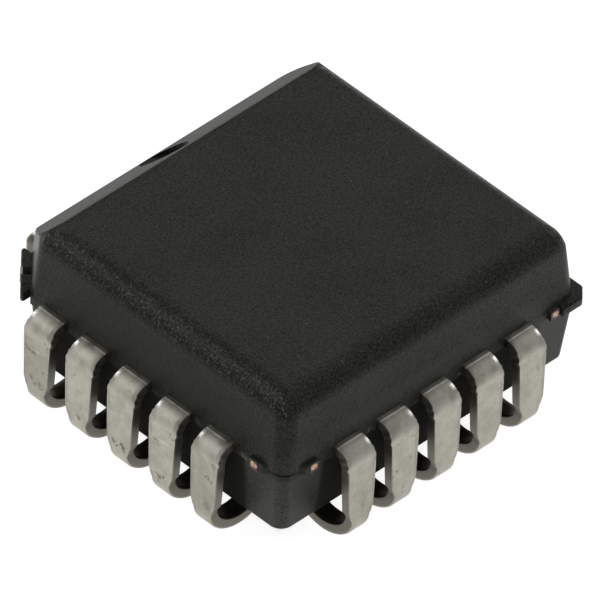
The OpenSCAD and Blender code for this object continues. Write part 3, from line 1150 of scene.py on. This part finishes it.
@dataclass
class InnerWorks:
    """What the moulding closes round: the plate and its tie bars, the paste, the die and the bond wires."""

    wires: int = 20

    def dress(self, nodes: dict[str, bpy.types.Object]) -> None:
        """Gives each solid that stays its finish.

        Args:
            nodes: The frame's solids by name.
        """
        finishes = {"die_paddle": CutCopper(), "die_adhesive": SILVER_PASTE, "die": SILICON}
        for name, finish in finishes.items():
            self._repaint(nodes[name], finish.build())
        gold = GOLD_WIRE.build()
        for number in range(1, self.wires + 1):
            self._repaint(nodes[f"wire_{number:02d}"], gold)

    @staticmethod
    def _repaint(node: bpy.types.Object, material: bpy.types.Material) -> None:
        """Puts a material on a solid of the frame."""
        node.data.materials.clear()
        node.data.materials.append(material)
        log.info("%s: %s", node.name, material.name)


@dataclass(frozen=True)
class SoftBox:
    """A rectangular studio light that looks at the part."""

    name: str
    azimuth: float
    elevation: float
    distance: float
    width: float
    height: float
    radiance: float

    def build(self, target: Vector) -> None:
        """Hangs the light.

        Args:
            target: The point that it looks at, in metres.
        """
        around, up = math.radians(self.azimuth), math.radians(self.elevation)
        away = Vector((math.cos(around) * math.cos(up), math.sin(around) * math.cos(up), math.sin(up)))
        lamp = bpy.data.lights.new(self.name, "AREA")
        lamp.shape = "RECTANGLE"
        lamp.size = self.width
        lamp.size_y = self.height
        lamp.energy = self.radiance * 4 * self.width * self.height
        made = bpy.data.objects.new(self.name, lamp)
        made.location = target + away * self.distance
        made.rotation_euler = away.to_track_quat("Z", "Y").to_euler()
        bpy.context.scene.collection.objects.link(made)


@dataclass(frozen=True)
class Viewpoint:
    """Where the photograph was taken from, in degrees and millimetres."""

    azimuth: float = -46.647
    elevation: float = 41.947
    roll: float = 3.247
    distance: float = 480.154
    pixels_per_mm: float = 47.018
    slide_right: float = -0.304
    slide_up: float = 0.048
    target: tuple[float, float, float] = (0.0, 0.0, 2.16)
    frame_px: int = 600
    sensor_mm: float = 36.0

    def build(self) -> None:
        """Sets up the camera."""
        around, up, roll = (math.radians(v) for v in (self.azimuth, self.elevation, self.roll))
        back = Vector((math.sin(around) * math.cos(up), -math.cos(around) * math.cos(up), math.sin(up)))
        level = Vector((math.cos(around), math.sin(around), 0))
        upright = back.cross(level)
        right = level * math.cos(roll) + upright * math.sin(roll)
        top = upright * math.cos(roll) - level * math.sin(roll)
        place = Vector(self.target) + back * self.distance - right * self.slide_right - top * self.slide_up
        lens = bpy.data.cameras.new("viewpoint")
        lens.sensor_width = self.sensor_mm
        lens.lens = self.pixels_per_mm * self.distance / self.frame_px * self.sensor_mm
        lens.clip_start = 0.01
        lens.clip_end = 10.0
        made = bpy.data.objects.new("viewpoint", lens)
        turn = Matrix((right, top, back)).transposed().to_4x4()
        made.matrix_world = Matrix.Translation(place * MM) @ turn
        bpy.context.scene.collection.objects.link(made)
        bpy.context.scene.camera = made


@dataclass
class Studio:
    """A pale table, a dim ceiling and a few soft lights."""

    floor_half: float = 1.2
    floor_glow: float = 0.93
    floor_white: float = 0.35
    far_glow: float = 0.1
    painted_shadow_glow: float = 0.05
    shade_mm: tuple[float, float] = (2.8, 3.7)
    pool_mm: tuple[float, float] = (60.0, 16.0)
    ceiling: float = 0.12
    horizon: float = 0.25
    lights: tuple[SoftBox, ...] = (
        SoftBox("left_back_light", 142, 42, 0.3, 0.12, 0.12, 5.0),
        SoftBox("high_light", -5, 58, 0.35, 0.2, 0.2, 0.85),
        SoftBox("back_light", 45, 42, 0.35, 0.2, 0.2, 1.02),
        SoftBox("right_light", -50, 33, 0.3, 0.16, 0.1, 0.7),
        SoftBox("front_light", -130, 55, 0.4, 0.2, 0.2, 1.2),
        SoftBox("north_glint", 88, 16, 0.5, 0.12, 0.08, 8.0),
        SoftBox("east_glint", 2, 16, 0.5, 0.12, 0.08, 8.0),
    )

    def _floor(self) -> None:
        """The table, lit a little from within like a light table, so that shadows stay faint; its glow is dimmed under
        the chip as a painted shadow and falls off far from the chip, leaving a painted pool of light round it.
        """
        top = bmesh.new()
        bmesh.ops.create_grid(top, x_segments=1, y_segments=1, size=self.floor_half)
        made = fresh_mesh("table", top)
        material, graph = new_material("pale_table")
        white = (self.floor_white,) * 3 + (1.0,)
        at = graph.millimetres()
        parts = [graph.node("ShaderNodeSeparateXYZ", {}, {0: at}, output=name) for name in ("X", "Y")]
        wide, deep = (graph.node("ShaderNodeMath", {"operation": "ABSOLUTE"}, {0: part}) for part in parts)
        square = graph.node("ShaderNodeMath", {"operation": "MAXIMUM"}, {0: wide, 1: deep})
        # painted shadow: the glow is dimmed under the chip
        under = square.above(*self.shade_mm)
        pool = square.above(*self.pool_mm)
        glow = graph.mix(pool, (self.far_glow,) * 3, (self.floor_glow,) * 3)
        glow = graph.mix(under, (self.painted_shadow_glow,) * 3, glow)
        graph.surface(Base_Color=white, Roughness=0.9, Emission_Color=glow, Emission_Strength=1.0)
        made.data.materials.append(material)

    def _surroundings(self) -> None:
        """A room that is lighter near the horizon than overhead."""
        world = bpy.data.worlds.new("room")
        bpy.context.scene.world = world
        world.use_nodes = True
        graph = Graph(world.node_tree)
        where = graph.node("ShaderNodeTexCoord", output="Generated")
        height = graph.node("ShaderNodeSeparateXYZ", {}, {0: where}, output="Z")
        light = graph.mix(height.above(0.0, 0.8), (self.horizon,) * 3, (self.ceiling,) * 3)
        room = graph.node("ShaderNodeBackground", {}, {"Color": light, "Strength": 1.0})
        graph.node("ShaderNodeOutputWorld", {}, {"Surface": room})

    def build(self) -> None:
        """Sets up the table, the room and the lights."""
        self._floor()
        self._surroundings()
        for light in self.lights:
            light.build(Vector((0, 0, 2.5 * MM)))
        bpy.context.scene.view_settings.view_transform = "Standard"


def main() -> None:
    """Builds and dresses the chip carrier, and sets it up for its picture."""
    logging.basicConfig(level=logging.INFO, format="%(name)s: %(message)s")
    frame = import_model()
    resin = GrainedResin().build()
    Moulding().build(resin)
    Leadframe().build(TinPlate())
    InnerWorks().dress(frame["nodes"])
    Studio().build()
    Viewpoint().build()


if __name__ == "__main__":
    main()
